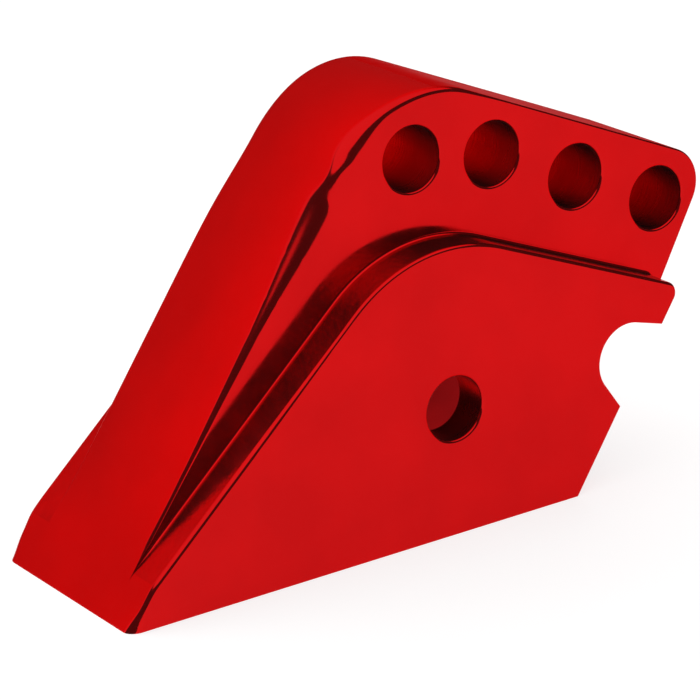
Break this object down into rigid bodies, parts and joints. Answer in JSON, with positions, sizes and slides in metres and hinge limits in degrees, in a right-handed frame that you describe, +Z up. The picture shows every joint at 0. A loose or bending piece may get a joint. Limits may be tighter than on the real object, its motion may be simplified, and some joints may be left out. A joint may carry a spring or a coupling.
{
  "type": "shock absorber riser",
  "caption": "Milled aluminium riser block that raises a small scooter's rear shock absorber: a fork at the foot, a lug with a row of bores at the head, and a notch in the rear face.",
  "frame": {"origin": "centre of the fork bore, midway between the two cheeks", "axes": "+X to the rear along the flat base, +Y along the bores, +Z up, square to the base"},
  "size_m": [0.0899, 0.03, 0.0558],
  "materials": {
    "anodised_red": "polished and anodised a clear bright red"
  },
  "bodies": {
    "root": {"riser_block": "anodised_red"}
  },
  "joints": []
}
